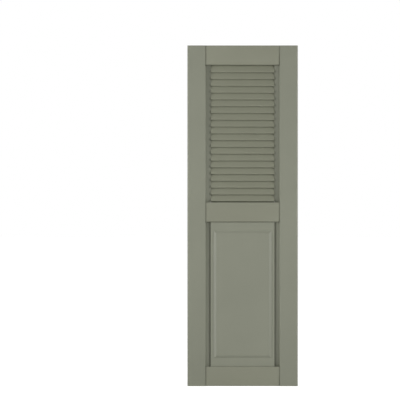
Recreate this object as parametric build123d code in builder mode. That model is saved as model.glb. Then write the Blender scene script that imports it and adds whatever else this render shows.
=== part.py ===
from build123d import *
from math import cos, radians, sin
import os

# Louvred and panelled exterior shutter, put together from hollow vinyl extrusions.
# Millimetres. X runs across the shutter, Y from its face to its back, Z up.
# The origin is the bottom centre of the shutter's box.

# Overall size
width = 381.0
height = 1175.0
depth = 30.0

# Stiles: one extrusion, turned over for the other side
stile_face = 62.0
stile_wall = 2.0
outer_edge_radius = 6.0
back_edge_radius = 1.2
arris_radius = 1.0
ledge_width = 18.4
ledge_setback = 12.0
ledge_cove_radius = 1.5
stile_web = 1.6
stile_web_inset = 33.0
back_land = 14.0
back_recess = 3.0
recess_slope = 2.0

# Rails: one extrusion for all three
rail_height = 67.0
rail_setback = 2.5
rail_wall = 2.0
rail_edge_radius = 3.0
rail_back_radius = 1.0
rail_lip_height = 10.0
rail_lip = 2.0
rail_lip_gap = 0.5
rail_end_gap = 0.4
mortise_gap = 0.3
mid_rail_bottom = 566.5

# Louvres
louver_count = 20
louver_tilt = 22.0
louver_blade = 23.6
louver_thickness = 2.4
louver_bead_radius = 2.6
louver_lip_gap = 3.7
louver_top_gap = 0.5
louver_foot_gap = 3.2
louver_shoulder_gap = 0.4
louver_tongue = 6.0
louver_tongue_width = 7.0
louver_slot_gap = 0.2

# Raised panel: one moulding
panel_margin_setback = 7.8
panel_field_setback = 1.6
panel_skin = 2.5
panel_flange_setback = 16.0
panel_side_margin = 9.2
panel_end_margin = 29.5
panel_bevel = 9.2
panel_edge_radius = 1.0
panel_entry = 6.5
panel_side_gap = 0.6
panel_top_gap = 1.0
panel_rib = 1.8
panel_rib_columns = 2
panel_rib_rows = 4
track_gap = 0.2
track_end_gap = 1.0

# End plugs
plug_gap = 0.15
plug_plate = 2.0
plug_skirt = 12.0
plug_wall = 1.5

# Screws
screw_radius = 2.0
screw_length = 16.0
screw_point = 3.0
screw_point_radius = 0.5
screw_head_radius = 4.0
screw_head_height = 2.4
screw_cross = 0.9
screw_cross_span = 4.2
screw_cross_depth = 1.3
screw_bite_gap = 0.05
screw_pass_gap = 0.25
screw_inset = 48.0

# Faces and edges that follow from the sizes above
face_y = -depth / 2
back_y = depth / 2
stile_left = -width / 2
stile_width = stile_face + ledge_width
arris_x = stile_left + stile_face
inner_wall_x = stile_left + stile_width
web_x = stile_left + stile_web_inset
recess_y = back_y - back_recess
rail_face_y = face_y + rail_setback
rail_back_y = recess_y - stile_wall
lip_front_y = rail_back_y - rail_lip
rail_depth = rail_back_y - rail_face_y
rail_length = width - 2 * (stile_web_inset + stile_web + rail_end_gap)
clear_width = width - 2 * stile_width
louver_low = mid_rail_bottom + rail_height
louver_high = height - rail_height
rail_bottoms = {"top_rail": louver_high, "mid_rail": mid_rail_bottom, "bottom_rail": 0.0}


def save(piece, name):
    """Labels a finished piece and writes it to its own file."""
    piece.label = name
    export_step(piece, os.path.join("parts", name + ".step"))


os.makedirs("parts", exist_ok=True)

# Louvres: flat slats, each with a round bead along its low front edge and a tongue at each end
tilt = radians(louver_tilt)
blade_reach = louver_blade * sin(tilt) + (louver_thickness - louver_bead_radius) * cos(tilt)
nose_y = lip_front_y - louver_lip_gap - blade_reach
blade_rise = louver_blade * cos(tilt) + louver_bead_radius * sin(tilt)
lowest_nose = louver_low + louver_foot_gap + louver_bead_radius
highest_nose = louver_high - louver_top_gap - blade_rise
louver_pitch = (highest_nose - lowest_nose) / (louver_count - 1)
nose_heights = [lowest_nose + louver_pitch * step for step in range(louver_count)]


def blade_plane(x, z):
    """Plane across one louvre at x: its own x runs up the slat, its own y out of the slat's face."""
    return Plane(origin=(x, nose_y, z), x_dir=(0, sin(tilt), cos(tilt)), z_dir=(1, 0, 0))


with BuildSketch() as slat_section:
    Circle(louver_bead_radius)
    with Locations((0, louver_bead_radius)):
        Rectangle(louver_blade, louver_thickness, align=(Align.MIN, Align.MAX))

with BuildSketch() as tongue_section:
    with Locations((louver_blade, louver_bead_radius)):
        Rectangle(louver_tongue_width, louver_thickness, align=(Align.MAX, Align.MAX))

with BuildSketch() as slot_section:
    with Locations((louver_blade + louver_slot_gap, louver_bead_radius + louver_slot_gap)):
        Rectangle(
            louver_tongue_width + 2 * louver_slot_gap,
            louver_thickness + 2 * louver_slot_gap,
            align=(Align.MAX, Align.MAX),
        )

# Stile section: face, lower inner ledge with a track behind it, and a recessed back
ledge_y = face_y + ledge_setback
track_front_y = face_y + panel_flange_setback - track_gap
track_back_y = face_y + panel_flange_setback + panel_skin + track_gap
track_depth = panel_entry + track_end_gap
recess_left = stile_left + back_land
recess_right = inner_wall_x - back_land

with BuildSketch() as stile_outline:
    with BuildLine():
        face = Line((stile_left + outer_edge_radius, face_y), (arris_x, face_y))
        Polyline(
            face @ 1,
            (arris_x, ledge_y),
            (inner_wall_x, ledge_y),
            (inner_wall_x, track_front_y),
            (inner_wall_x - track_depth, track_front_y),
            (inner_wall_x - track_depth, track_back_y),
            (inner_wall_x, track_back_y),
            (inner_wall_x, back_y),
            (recess_right, back_y),
            (recess_right - recess_slope, recess_y),
            (recess_left + recess_slope, recess_y),
            (recess_left, back_y),
            (stile_left, back_y),
            (stile_left, face_y + outer_edge_radius),
        )
        TangentArc(
            (stile_left, face_y + outer_edge_radius),
            face @ 0,
            tangent=(0, -1),
        )
    make_face()
    back_corners = stile_outline.vertices().group_by(Axis.Y)[-1].sort_by(Axis.X)
    fillet([back_corners[0], back_corners[-1]], radius=back_edge_radius)
    arris = stile_outline.vertices().group_by(Axis.Y)[0].sort_by(Axis.X)[-1]
    fillet(arris, radius=arris_radius)
    cove = stile_outline.vertices().sort_by_distance((arris_x, ledge_y))[0]
    fillet(cove, radius=ledge_cove_radius)

with BuildSketch() as stile_section:
    add(stile_outline.sketch)
    offset(amount=-stile_wall, mode=Mode.SUBTRACT)
    with Locations((web_x, face_y + stile_wall / 2)):
        Rectangle(stile_web, rail_back_y - face_y, align=(Align.MIN, Align.MIN))

screw_points = [
    (stile_left + screw_inset, bottom + rail_height / 2) for bottom in rail_bottoms.values()
]

# Left stile: the extrusion, with its mortises, louvre slots and screw holes
with BuildPart() as left_stile:
    add(stile_section.sketch)
    extrude(amount=height)
    for bottom in rail_bottoms.values():
        with BuildSketch(Plane.XY.offset(bottom - mortise_gap)):
            with Locations((inner_wall_x, face_y)):
                Rectangle(ledge_width, rail_back_y - face_y, align=(Align.MAX, Align.MIN))
            with Locations((inner_wall_x, face_y + stile_wall)):
                Rectangle(
                    stile_width - stile_web_inset - stile_web,
                    rail_back_y - face_y - stile_wall,
                    align=(Align.MAX, Align.MIN),
                )
        extrude(amount=rail_height + 2 * mortise_gap, mode=Mode.SUBTRACT)
    slot_start = inner_wall_x - louver_tongue - louver_slot_gap
    with BuildSketch(*[blade_plane(slot_start, z) for z in nose_heights]):
        add(slot_section.sketch)
    extrude(amount=inner_wall_x - slot_start + stile_wall, mode=Mode.SUBTRACT)
    with BuildSketch(Plane.XZ.offset(-recess_y)):
        with Locations(*screw_points):
            Circle(screw_radius + screw_pass_gap)
    extrude(amount=stile_wall, mode=Mode.SUBTRACT)
save(left_stile.part, "left_stile")

with BuildPart() as right_stile:
    mirror(left_stile.part, about=Plane.YZ)
save(right_stile.part, "right_stile")

# Rails: hollow, with rear lips that close the gaps beside the louvres and above the panel
rail_lips = {
    "top_rail": [Align.MAX],
    "mid_rail": [Align.MIN, Align.MAX],
    "bottom_rail": [Align.MIN],
}

for name, bottom in rail_bottoms.items():
    middle = bottom + rail_height / 2
    with BuildPart() as rail:
        with BuildSketch(Plane.YZ.offset(-rail_length / 2)) as rail_section:
            with Locations(((rail_face_y + rail_back_y) / 2, middle)):
                Rectangle(rail_depth, rail_height)
            corners = rail_section.vertices().sort_by(Axis.Y)
            fillet(corners[:2], radius=rail_edge_radius)
            fillet(corners[2:], radius=rail_back_radius)
            offset(amount=-rail_wall, mode=Mode.SUBTRACT)
        extrude(amount=rail_length)
        with BuildSketch(Plane.YZ.offset(rail_lip_gap - clear_width / 2)):
            with Locations((rail_back_y, middle)):
                for side in rail_lips[name]:
                    Rectangle(
                        rail_lip,
                        rail_height / 2 + rail_lip_height,
                        align=(Align.MAX, side),
                    )
        extrude(amount=clear_width - 2 * rail_lip_gap)
        with BuildSketch(Plane.XZ.offset(-rail_back_y)):
            for x, z in screw_points:
                with Locations((x, z), (-x, z)):
                    Circle(screw_radius + screw_bite_gap)
        extrude(amount=rail_wall, mode=Mode.SUBTRACT)
    save(rail.part, name)

# Louvres, numbered from the bottom
slat_length = clear_width - 2 * louver_shoulder_gap
louver_length = clear_width + 2 * louver_tongue
for number, z in enumerate(nose_heights, start=1):
    with BuildPart() as louver:
        with BuildSketch(blade_plane(-slat_length / 2, z)):
            add(slat_section.sketch)
        extrude(amount=slat_length)
        with BuildSketch(blade_plane(-louver_length / 2, z)):
            add(tongue_section.sketch)
        extrude(amount=louver_length)
    save(louver.part, f"louver_{number:02d}")

# Raised panel: a hollow moulding whose side flanges run in the stiles' tracks
panel_bottom = rail_height
panel_height = mid_rail_bottom - panel_top_gap - panel_bottom
panel_middle = panel_bottom + panel_height / 2
flange_y = face_y + panel_flange_setback
margin_y = face_y + panel_margin_setback
field_y = face_y + panel_field_setback
flange_width = clear_width + 2 * panel_entry
box_width = clear_width - 2 * panel_side_gap
bevel_width = box_width - 2 * panel_side_margin
bevel_height = panel_height - 2 * panel_end_margin
field_width = bevel_width - 2 * panel_bevel
field_height = bevel_height - 2 * panel_bevel
moulding_back_y = flange_y + panel_skin

with BuildPart() as raised_panel:
    with BuildSketch(Plane.XZ.offset(-moulding_back_y)):
        with Locations((0, panel_middle)):
            Rectangle(flange_width, panel_height)
    extrude(amount=panel_skin)
    with BuildSketch(Plane.XZ.offset(-moulding_back_y)):
        with Locations((0, panel_middle)):
            Rectangle(box_width, panel_height)
    extrude(amount=moulding_back_y - margin_y)
    box_front = raised_panel.faces().sort_by(Axis.Y)[0]
    fillet(box_front.edges(), radius=panel_edge_radius)
    with BuildSketch(Plane.XZ.offset(-margin_y)):
        with Locations((0, panel_middle)):
            Rectangle(bevel_width, bevel_height)
    with BuildSketch(Plane.XZ.offset(-field_y)):
        with Locations((0, panel_middle)):
            Rectangle(field_width, field_height)
    loft(ruled=True)
    with BuildSketch(Plane.XZ.offset(-moulding_back_y)):
        with Locations((0, panel_middle)):
            Rectangle(box_width - 2 * panel_skin, panel_height - 2 * panel_skin)
    extrude(amount=moulding_back_y - margin_y - panel_skin, mode=Mode.SUBTRACT)
    with BuildSketch(Plane.XZ.offset(-margin_y - panel_skin)):
        with Locations((0, panel_middle)):
            Rectangle(bevel_width, bevel_height)
    with BuildSketch(Plane.XZ.offset(-field_y - panel_skin)):
        with Locations((0, panel_middle)):
            Rectangle(field_width, field_height)
    loft(ruled=True, mode=Mode.SUBTRACT)
    with BuildSketch(Plane.XZ.offset(-moulding_back_y)):
        for column in range(panel_rib_columns):
            share = (column + 1) / (panel_rib_columns + 1) - 0.5
            with Locations((share * box_width, panel_middle)):
                Rectangle(panel_rib, panel_height - panel_skin)
        for row in range(panel_rib_rows):
            share = (row + 1) / (panel_rib_rows + 1) - 0.5
            with Locations((0, panel_middle + share * panel_height)):
                Rectangle(box_width - panel_skin, panel_rib)
    extrude(amount=moulding_back_y - margin_y - panel_skin / 2)
save(raised_panel.part, "raised_panel")

# End plugs: flush caps in the open outer chamber of each stile
with BuildSketch() as plug_outline:
    add(stile_outline.sketch)
    offset(amount=-stile_wall - plug_gap, mode=Mode.REPLACE)
    with Locations((web_x - plug_gap, 0)):
        Rectangle(stile_width, depth, align=(Align.MIN, Align.CENTER), mode=Mode.SUBTRACT)

with BuildPart() as top_left_plug:
    with BuildSketch(Plane.XY.offset(height)):
        add(plug_outline.sketch)
    extrude(amount=-plug_skirt)
    with BuildSketch(Plane.XY.offset(height - plug_plate)):
        add(plug_outline.sketch)
        offset(amount=-plug_wall, mode=Mode.REPLACE)
    extrude(amount=plug_plate - plug_skirt, mode=Mode.SUBTRACT)
save(top_left_plug.part, "top_left_plug")

with BuildPart() as bottom_left_plug:
    mirror(top_left_plug.part, about=Plane.XY.offset(height / 2))
save(bottom_left_plug.part, "bottom_left_plug")

with BuildPart() as top_right_plug:
    mirror(top_left_plug.part, about=Plane.YZ)
save(top_right_plug.part, "top_right_plug")

with BuildPart() as bottom_right_plug:
    mirror(bottom_left_plug.part, about=Plane.YZ)
save(bottom_right_plug.part, "bottom_right_plug")

# Screws: driven from the back through the stiles into the rail ends
with BuildPart(mode=Mode.PRIVATE) as screw:
    with BuildSketch():
        with BuildLine():
            Polyline(
                (0, screw_head_height),
                (0, -screw_length),
                (screw_point_radius, -screw_length),
                (screw_radius, screw_point - screw_length),
                (screw_radius, 0),
                (screw_head_radius, 0),
                (screw_head_radius, screw_head_height),
                close=True,
            )
        make_face()
    revolve(axis=Axis.Y)
    with BuildSketch(Plane.XZ.offset(-screw_head_height)):
        Rectangle(screw_cross_span, screw_cross)
        Rectangle(screw_cross, screw_cross_span)
    extrude(amount=screw_cross_depth, mode=Mode.SUBTRACT)

with BuildPart() as rail_screws:
    for x, z in screw_points:
        with Locations((x, recess_y, z), (-x, recess_y, z)):
            add(screw.part)
save(rail_screws.part, "rail_screws")
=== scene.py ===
"""Looks of a louvred and panelled vinyl shutter, dressed round its solid model.

Metres. X runs across the shutter, Y from its face to its back, Z up.
"""

import logging
import math
from dataclasses import dataclass
from enum import Enum

import bmesh
import bpy
from mathutils import Matrix, Vector

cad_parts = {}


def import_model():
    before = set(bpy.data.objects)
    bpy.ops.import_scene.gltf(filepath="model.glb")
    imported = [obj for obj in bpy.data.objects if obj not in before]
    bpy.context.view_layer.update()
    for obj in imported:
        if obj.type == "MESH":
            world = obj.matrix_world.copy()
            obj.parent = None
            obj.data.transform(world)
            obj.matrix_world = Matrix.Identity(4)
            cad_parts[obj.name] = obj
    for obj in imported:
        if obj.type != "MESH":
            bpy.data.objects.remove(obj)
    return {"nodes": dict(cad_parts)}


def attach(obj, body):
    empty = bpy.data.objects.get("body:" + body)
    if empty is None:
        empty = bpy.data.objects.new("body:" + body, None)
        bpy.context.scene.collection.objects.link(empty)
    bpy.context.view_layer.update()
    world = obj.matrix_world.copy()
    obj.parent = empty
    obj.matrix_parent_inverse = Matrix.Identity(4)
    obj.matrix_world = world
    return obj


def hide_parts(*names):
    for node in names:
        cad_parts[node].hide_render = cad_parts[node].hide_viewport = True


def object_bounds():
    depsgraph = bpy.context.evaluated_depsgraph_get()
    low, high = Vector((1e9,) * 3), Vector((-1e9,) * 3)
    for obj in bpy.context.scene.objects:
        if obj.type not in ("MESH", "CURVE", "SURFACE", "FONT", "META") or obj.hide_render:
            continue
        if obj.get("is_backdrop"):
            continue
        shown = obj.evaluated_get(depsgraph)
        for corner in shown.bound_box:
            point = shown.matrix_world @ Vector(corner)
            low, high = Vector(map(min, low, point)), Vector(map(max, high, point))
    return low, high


log = logging.getLogger("shutter")

MILLIMETRE = 0.001
WHITE = (1.0, 1.0, 1.0, 1.0)
NOISE_ROUGHNESS = 0.6
NOISE_LOW = 0.3
NOISE_HIGH = 0.7


class Grain(Enum):
    """Which way the embossed wood grain of a vinyl piece runs."""

    UPRIGHT = "upright"
    CROSSWISE = "crosswise"


class Edge(Enum):
    """How softly the edges of a piece are broken, as the width of the round in metres."""

    EXTRUDED = 0.35 * MILLIMETRE
    MOULDED = 0.6 * MILLIMETRE
    PRESSED = 0.5 * MILLIMETRE


def opaque(colour: tuple[float, float, float]) -> tuple[float, float, float, float]:
    """Adds full cover to a colour."""
    return (*colour, 1.0)


class Wiring:
    """Adds shader nodes to one material and joins them."""

    def __init__(self, name: str) -> None:
        """Starts an empty node tree with an output.

        Args:
            name: The material's name.
        """
        self.material = bpy.data.materials.new(name)
        self.material.use_nodes = True
        self.tree = self.material.node_tree
        self.tree.nodes.clear()
        self.output = self.node("ShaderNodeOutputMaterial")

    def node(self, kind: str, **inputs: object) -> bpy.types.Node:
        """Adds a node and sets its inputs.

        Args:
            kind: Blender's type name of the node.
            inputs: Values by input name, with underscores for spaces.

        Returns:
            The new node.
        """
        made = self.tree.nodes.new(kind)
        for name, value in inputs.items():
            made.inputs[name.replace("_", " ")].default_value = value
        return made

    def join(self, source: bpy.types.NodeSocket, target: bpy.types.NodeSocket) -> None:
        """Joins an output socket to an input socket."""
        self.tree.links.new(source, target)

    def noise(self, place: bpy.types.NodeSocket, scale: float, detail: float) -> bpy.types.Node:
        """Adds a noise texture that reads a place.

        Args:
            place: The socket that gives the place.
            scale: Features for each metre.
            detail: How many finer layers are added.

        Returns:
            The noise node.
        """
        made = self.node("ShaderNodeTexNoise", Scale=scale, Detail=detail)
        made.inputs["Roughness"].default_value = NOISE_ROUGHNESS
        self.join(place, made.inputs["Vector"])
        return made

    def spread(
        self, value: bpy.types.NodeSocket, low: float, high: float
    ) -> bpy.types.NodeSocket:
        """Maps a value from the middle of the noise's range to a range of its own.

        Args:
            value: The socket to map.
            low: The result where the value is low.
            high: The result where the value is high.

        Returns:
            The mapped output socket.
        """
        made = self.node("ShaderNodeMapRange")
        made.inputs["From Min"].default_value = NOISE_LOW
        made.inputs["From Max"].default_value = NOISE_HIGH
        made.inputs["To Min"].default_value = low
        made.inputs["To Max"].default_value = high
        self.join(value, made.inputs["Value"])
        return made.outputs["Result"]


@dataclass(frozen=True)
class VinylFinish:
    """Coloured rigid vinyl with a fine wood grain pressed into its skin."""

    name: str
    colour: tuple[float, float, float]
    grain: Grain
    shade: float = 0.05
    roughness: tuple[float, float] = (0.46, 0.58)
    grain_scale: float = 520.0
    grain_stretch: float = 0.035
    grain_detail: float = 3.0
    grain_depth: float = 0.12 * MILLIMETRE
    pore_scale: float = 1400.0
    pore_stretch: float = 0.05
    pore_detail: float = 1.0
    pore_share: float = 0.25
    ripple_scale: float = 9.0
    ripple_detail: float = 1.0
    ripple_depth: float = 0.6 * MILLIMETRE
    cloud_scale: float = 4.5
    cloud_detail: float = 2.0
    cloud_range: tuple[float, float] = (0.2, 0.8)
    refraction: float = 1.52
    gloss: float = 0.35

    def stretch(self, along: float) -> tuple[float, float, float]:
        """Scale of a texture that is drawn out along the grain."""
        if self.grain is Grain.UPRIGHT:
            return (1.0, 1.0, along)
        return (along, 1.0, 1.0)

    def mapped(
        self, wiring: Wiring, place: bpy.types.NodeSocket, along: float
    ) -> bpy.types.NodeSocket:
        """Adds a mapping that draws a texture out along the grain.

        Args:
            wiring: The material being wired.
            place: The object coordinates.
            along: Scale along the grain.

        Returns:
            The mapped output socket.
        """
        mapping = wiring.node("ShaderNodeMapping", Scale=self.stretch(along))
        wiring.join(place, mapping.inputs["Vector"])
        return mapping.outputs["Vector"]

    def relief(
        self,
        wiring: Wiring,
        height: bpy.types.NodeSocket,
        distance: float,
        below: bpy.types.NodeSocket | None = None,
    ) -> bpy.types.NodeSocket:
        """Adds one layer of relief to the surface.

        Args:
            wiring: The material being wired.
            height: The height of the relief from 0 to 1.
            distance: How deep the relief is, in metres.
            below: The normal of the layer below, if there is one.

        Returns:
            The normal with the relief on it.
        """
        bump = wiring.node("ShaderNodeBump", Strength=1.0, Distance=distance)
        wiring.join(height, bump.inputs["Height"])
        if below is not None:
            wiring.join(below, bump.inputs["Normal"])
        return bump.outputs["Normal"]

    def make(self) -> bpy.types.Material:
        """Wires the material.

        Returns:
            The vinyl material.
        """
        wiring = Wiring(self.name)
        place = wiring.node("ShaderNodeTexCoord").outputs["Object"]
        along_streaks = self.mapped(wiring, place, self.grain_stretch)
        streaks = wiring.noise(along_streaks, self.grain_scale, self.grain_detail)
        along_pores = self.mapped(wiring, place, self.pore_stretch)
        pores = wiring.noise(along_pores, self.pore_scale, self.pore_detail)
        ripple = wiring.noise(place, self.ripple_scale, self.ripple_detail)
        cloud = wiring.noise(place, self.cloud_scale, self.cloud_detail)

        tint = wiring.node("ShaderNodeMix")
        tint.data_type = "RGBA"
        darker = tuple(channel * (1 - self.shade) for channel in self.colour)
        lighter = tuple(channel * (1 + self.shade) for channel in self.colour)
        tint.inputs["A"].default_value = opaque(darker)
        tint.inputs["B"].default_value = opaque(lighter)
        patches = wiring.spread(cloud.outputs["Fac"], *self.cloud_range)
        wiring.join(patches, tint.inputs["Factor"])

        normal = self.relief(wiring, ripple.outputs["Fac"], self.ripple_depth)
        normal = self.relief(wiring, streaks.outputs["Fac"], self.grain_depth, normal)
        pore_depth = self.pore_share * self.grain_depth
        normal = self.relief(wiring, pores.outputs["Fac"], pore_depth, normal)

        shader = wiring.node("ShaderNodeBsdfPrincipled", IOR=self.refraction)
        shader.inputs["Specular IOR Level"].default_value = self.gloss
        wiring.join(tint.outputs["Result"], shader.inputs["Base Color"])
        dullness = wiring.spread(streaks.outputs["Fac"], *self.roughness)
        wiring.join(dullness, shader.inputs["Roughness"])
        wiring.join(normal, shader.inputs["Normal"])
        wiring.join(shader.outputs["BSDF"], wiring.output.inputs["Surface"])
        return wiring.material


@dataclass(frozen=True)
class SteelFinish:
    """Plain stainless steel with faint turning marks."""

    name: str
    colour: tuple[float, float, float] = (0.55, 0.55, 0.53)
    roughness: tuple[float, float] = (0.28, 0.4)
    mark_scale: float = 2600.0
    mark_detail: float = 1.0

    def make(self) -> bpy.types.Material:
        """Wires the material.

        Returns:
            The steel material.
        """
        wiring = Wiring(self.name)
        place = wiring.node("ShaderNodeTexCoord").outputs["Object"]
        marks = wiring.noise(place, self.mark_scale, self.mark_detail)
        shader = wiring.node("ShaderNodeBsdfPrincipled", Metallic=1.0)
        shader.inputs["Base Color"].default_value = opaque(self.colour)
        dullness = wiring.spread(marks.outputs["Fac"], *self.roughness)
        wiring.join(dullness, shader.inputs["Roughness"])
        wiring.join(shader.outputs["BSDF"], wiring.output.inputs["Surface"])
        return wiring.material


@dataclass(frozen=True)
class FloorFinish:
    """Pale matt studio paper that looks white to the camera and still takes a shadow."""

    name: str
    colour: tuple[float, float, float] = (0.8, 0.8, 0.8)
    roughness: float = 0.9
    gloss: float = 0.0
    glow: float = 0.79

    def make(self) -> bpy.types.Material:
        """Wires the material.

        Returns:
            The floor's material.
        """
        wiring = Wiring(self.name)
        shader = wiring.node("ShaderNodeBsdfPrincipled", Roughness=self.roughness)
        shader.inputs["Base Color"].default_value = opaque(self.colour)
        shader.inputs["Specular IOR Level"].default_value = self.gloss
        shader.inputs["Emission Color"].default_value = WHITE
        seen = white_to_the_eye(wiring.tree)
        glow = wiring.node("ShaderNodeMath")
        glow.operation = "MULTIPLY"
        glow.inputs[1].default_value = self.glow
        wiring.join(seen, glow.inputs[0])
        wiring.join(glow.outputs["Value"], shader.inputs["Emission Strength"])
        wiring.join(shader.outputs["BSDF"], wiring.output.inputs["Surface"])
        return wiring.material


def white_to_the_eye(tree: bpy.types.NodeTree) -> bpy.types.NodeSocket:
    """Adds nodes that give 1 for rays that the eye follows and 0 for the lighting.

    Args:
        tree: The node tree that the nodes go in.

    Returns:
        The socket with the result.
    """
    path = tree.nodes.new("ShaderNodeLightPath")
    total = path.outputs["Is Camera Ray"]
    for name in ("Is Glossy Ray", "Is Transmission Ray"):
        both = tree.nodes.new("ShaderNodeMath")
        both.operation = "MAXIMUM"
        tree.links.new(total, both.inputs[0])
        tree.links.new(path.outputs[name], both.inputs[1])
        total = both.outputs["Value"]
    return total


@dataclass
class SolidPiece:
    """A piece of the solid model that keeps its own shape and gets softened edges."""

    node: bpy.types.Object
    material: bpy.types.Material
    slot: str
    edge: Edge
    edge_angle: float = math.radians(20.0)
    edge_steps: int = 2
    weld: float = 0.002 * MILLIMETRE
    flatness: float = math.radians(0.5)

    def soften(self) -> None:
        """Joins the facets, clears flat ones and rounds the edges that are left."""
        weld = self.node.modifiers.new("joined_facets", "WELD")
        weld.merge_threshold = self.weld
        flat = self.node.modifiers.new("flat_faces", "DECIMATE")
        flat.decimate_type = "DISSOLVE"
        flat.angle_limit = self.flatness
        bevel = self.node.modifiers.new("broken_edges", "BEVEL")
        bevel.width = self.edge.value
        bevel.segments = self.edge_steps
        bevel.limit_method = "ANGLE"
        bevel.angle_limit = self.edge_angle
        bevel.harden_normals = True
        for polygon in self.node.data.polygons:
            polygon.use_smooth = True

    def dress(self) -> None:
        """Gives the piece its material and its edges."""
        self.node.data.materials.clear()
        self.node.data.materials.append(self.material)
        self.soften()
        log.info("%s dressed in %s", self.node.name, self.material.name)


@dataclass
class SnugPiece(SolidPiece):
    """A piece that stands for a solid one and fills its opening from side to side."""

    shoulder: float = 0.0
    closing: float = 0.0
    catch_share: float = 0.25
    body: str = "root"

    def widened(self) -> bpy.types.Object:
        """Copies the solid piece and moves its shoulders out to the stiles.

        Returns:
            The new piece, which replaces the solid one.
        """
        catch = self.catch_share * self.closing
        mesh = bmesh.new()
        mesh.from_mesh(self.node.data)
        bmesh.ops.remove_doubles(mesh, verts=mesh.verts[:], dist=self.weld)
        for side in (-1.0, 1.0):
            ends = [
                corner
                for corner in mesh.verts
                if abs(side * corner.co.x - self.shoulder) < catch
            ]
            bmesh.ops.translate(mesh, verts=ends, vec=(side * self.closing, 0.0, 0.0))
        data = bpy.data.meshes.new("snug_" + self.node.name)
        mesh.to_mesh(data)
        mesh.free()
        piece = bpy.data.objects.new("snug_" + self.node.name, data)
        bpy.context.scene.collection.objects.link(piece)
        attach(piece, self.body)
        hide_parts(self.node.name)
        return piece

    def dress(self) -> None:
        """Widens the piece, and gives it its material and its edges."""
        self.node = self.widened()
        super().dress()


@dataclass
class Stiles:
    """The two upright extrusions and the plugs that close their ends."""

    nodes: dict[str, bpy.types.Object]
    finish: VinylFinish = VinylFinish("stile_vinyl", (0.238, 0.246, 0.191), Grain.UPRIGHT)
    plug_finish: VinylFinish = VinylFinish(
        "plug_vinyl", (0.225, 0.233, 0.180), Grain.CROSSWISE, grain_depth=0.04 * MILLIMETRE
    )
    stiles: tuple[str, ...] = ("left_stile", "right_stile")
    plugs: tuple[str, ...] = (
        "top_left_plug",
        "top_right_plug",
        "bottom_left_plug",
        "bottom_right_plug",
    )

    def build(self) -> None:
        """Dresses the stiles and their plugs."""
        vinyl = self.finish.make()
        for name in self.stiles:
            SolidPiece(self.nodes[name], vinyl, "stile_vinyl", Edge.EXTRUDED).dress()
        plug_vinyl = self.plug_finish.make()
        for name in self.plugs:
            SolidPiece(self.nodes[name], plug_vinyl, "plug_vinyl", Edge.MOULDED).dress()


@dataclass
class Rails:
    """The three rails between the stiles."""

    nodes: dict[str, bpy.types.Object]
    # The rails are the same vinyl as the stiles; their slightly darker, warmer colour is
    # painted shade.
    finish: VinylFinish = VinylFinish("rail_vinyl", (0.231, 0.236, 0.178), Grain.CROSSWISE)
    rails: tuple[str, ...] = ("top_rail", "mid_rail", "bottom_rail")

    def build(self) -> None:
        """Dresses the rails."""
        vinyl = self.finish.make()
        for name in self.rails:
            SolidPiece(self.nodes[name], vinyl, "rail_vinyl", Edge.EXTRUDED).dress()


@dataclass
class Louvers:
    """The fixed louvres of the upper opening."""

    nodes: dict[str, bpy.types.Object]
    # The louvres are the same vinyl as the stiles; their darker colour is painted shade for the
    # shadow among the slats.
    finish: VinylFinish = VinylFinish("louver_vinyl", (0.211, 0.217, 0.160), Grain.CROSSWISE)
    prefix: str = "louver_"
    shoulder: float = 109.7 * MILLIMETRE
    closing: float = 0.38 * MILLIMETRE

    def build(self) -> None:
        """Dresses every louvre, fitted snugly between the stiles."""
        vinyl = self.finish.make()
        for name in sorted(self.nodes):
            if name.startswith(self.prefix):
                SnugPiece(
                    self.nodes[name],
                    vinyl,
                    "louver_vinyl",
                    Edge.EXTRUDED,
                    shoulder=self.shoulder,
                    closing=self.closing,
                ).dress()


@dataclass
class RaisedPanel:
    """The moulded panel of the lower opening."""

    nodes: dict[str, bpy.types.Object]
    finish: VinylFinish = VinylFinish("panel_vinyl", (0.238, 0.246, 0.191), Grain.UPRIGHT)
    name: str = "raised_panel"
    shoulder: float = 109.5 * MILLIMETRE
    closing: float = 0.5 * MILLIMETRE

    def build(self) -> None:
        """Dresses the panel, fitted snugly between the stiles."""
        vinyl = self.finish.make()
        SnugPiece(
            self.nodes[self.name],
            vinyl,
            "panel_vinyl",
            Edge.MOULDED,
            shoulder=self.shoulder,
            closing=self.closing,
        ).dress()


@dataclass
class RailScrews:
    """The screws that hold the rails from behind."""

    nodes: dict[str, bpy.types.Object]
    finish: SteelFinish = SteelFinish("stainless_steel")
    name: str = "rail_screws"

    def build(self) -> None:
        """Dresses the screws."""
        steel = self.finish.make()
        SolidPiece(self.nodes[self.name], steel, "stainless_screws", Edge.PRESSED).dress()


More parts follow.
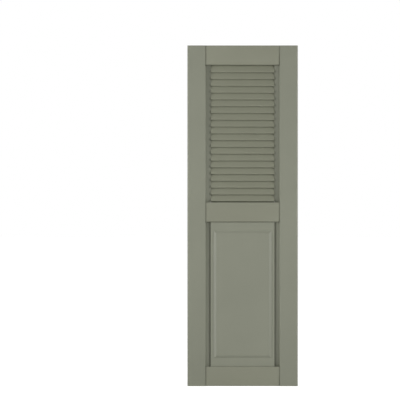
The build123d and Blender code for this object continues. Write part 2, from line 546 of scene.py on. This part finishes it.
@dataclass
class Studio:
    """Camera, floor, world and lamps."""

    middle: Vector
    face_y: float
    lens: float = 200.0
    sensor: float = 36.0
    distance: float = 7.661
    camera_left: float = 0.147
    camera_height: float = 0.642
    floor_half: float = 30.0
    ambient: float = 0.28
    seen_strength: float = 1.0
    strip_angle: float = math.radians(61.0)
    strip_distance: float = 4.0
    strip_height: float = 2.1
    strip_width: float = 0.44
    strip_lift: float = 0.4
    left_power: float = 97.0
    right_power: float = 95.0

    def add_camera(self) -> None:
        """Makes the camera, level and square on to the shutter, as the photograph was taken."""
        data = bpy.data.cameras.new("camera")
        data.lens = self.lens
        data.sensor_width = self.sensor
        camera = bpy.data.objects.new("camera", data)
        bpy.context.scene.collection.objects.link(camera)
        camera.location = (
            self.middle.x - self.camera_left,
            self.face_y - self.distance,
            self.camera_height,
        )
        camera.rotation_euler = (math.pi / 2, 0.0, 0.0)
        bpy.context.scene.camera = camera

    def add_floor(self) -> None:
        """Makes the pale floor that the shutter stands on."""
        mesh = bmesh.new()
        bmesh.ops.create_grid(mesh, x_segments=1, y_segments=1, size=self.floor_half)
        data = bpy.data.meshes.new("floor")
        mesh.to_mesh(data)
        mesh.free()
        data.materials.append(FloorFinish("floor_paper").make())
        floor = bpy.data.objects.new("floor", data)
        bpy.context.scene.collection.objects.link(floor)
        floor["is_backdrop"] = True

    def add_world(self) -> None:
        """Makes the even light from all round, white to the eye."""
        world = bpy.data.worlds.new("studio")
        bpy.context.scene.world = world
        world.use_nodes = True
        tree = world.node_tree
        background = tree.nodes["Background"]
        background.inputs["Color"].default_value = WHITE
        strength = tree.nodes.new("ShaderNodeMapRange")
        strength.inputs["To Min"].default_value = self.ambient
        strength.inputs["To Max"].default_value = self.seen_strength
        tree.links.new(white_to_the_eye(tree), strength.inputs["Value"])
        tree.links.new(strength.outputs["Result"], background.inputs["Strength"])

    def add_strip(self, name: str, angle: float, power: float) -> None:
        """Makes a tall soft lamp that stands to one side and points at the shutter.

        Args:
            name: The lamp's name.
            angle: How far it is turned from the camera's side, to the right.
            power: Its power in watts.
        """
        data = bpy.data.lights.new(name, "AREA")
        data.shape = "RECTANGLE"
        data.size = self.strip_width
        data.size_y = self.strip_height
        data.energy = power
        lamp = bpy.data.objects.new(name, data)
        bpy.context.scene.collection.objects.link(lamp)
        aside = Vector((math.sin(angle), -math.cos(angle), 0.0))
        lift = Vector((0.0, 0.0, self.strip_lift))
        place = self.middle + self.strip_distance * aside + lift
        turn = (-aside).to_track_quat("-Z", "Y")
        lamp.matrix_world = Matrix.Translation(place) @ turn.to_matrix().to_4x4()

    def build(self) -> None:
        """Makes the whole studio."""
        self.add_camera()
        self.add_floor()
        self.add_world()
        self.add_strip("left_strip", -self.strip_angle, self.left_power)
        self.add_strip("right_strip", self.strip_angle, self.right_power)
        bpy.context.scene.view_settings.view_transform = "Standard"
        log.info("studio ready")


def main() -> None:
    """Loads the solid model, dresses its pieces in order and sets up the studio."""
    logging.basicConfig(level=logging.INFO, format="%(name)s: %(message)s")
    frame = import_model()
    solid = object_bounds()
    nodes = frame["nodes"]
    low, high = solid
    Studio(middle=(low + high) / 2, face_y=low.y).build()
    for part in (Stiles(nodes), Rails(nodes), Louvers(nodes), RaisedPanel(nodes)):
        part.build()
    RailScrews(nodes).build()


if __name__ == "__main__":
    main()
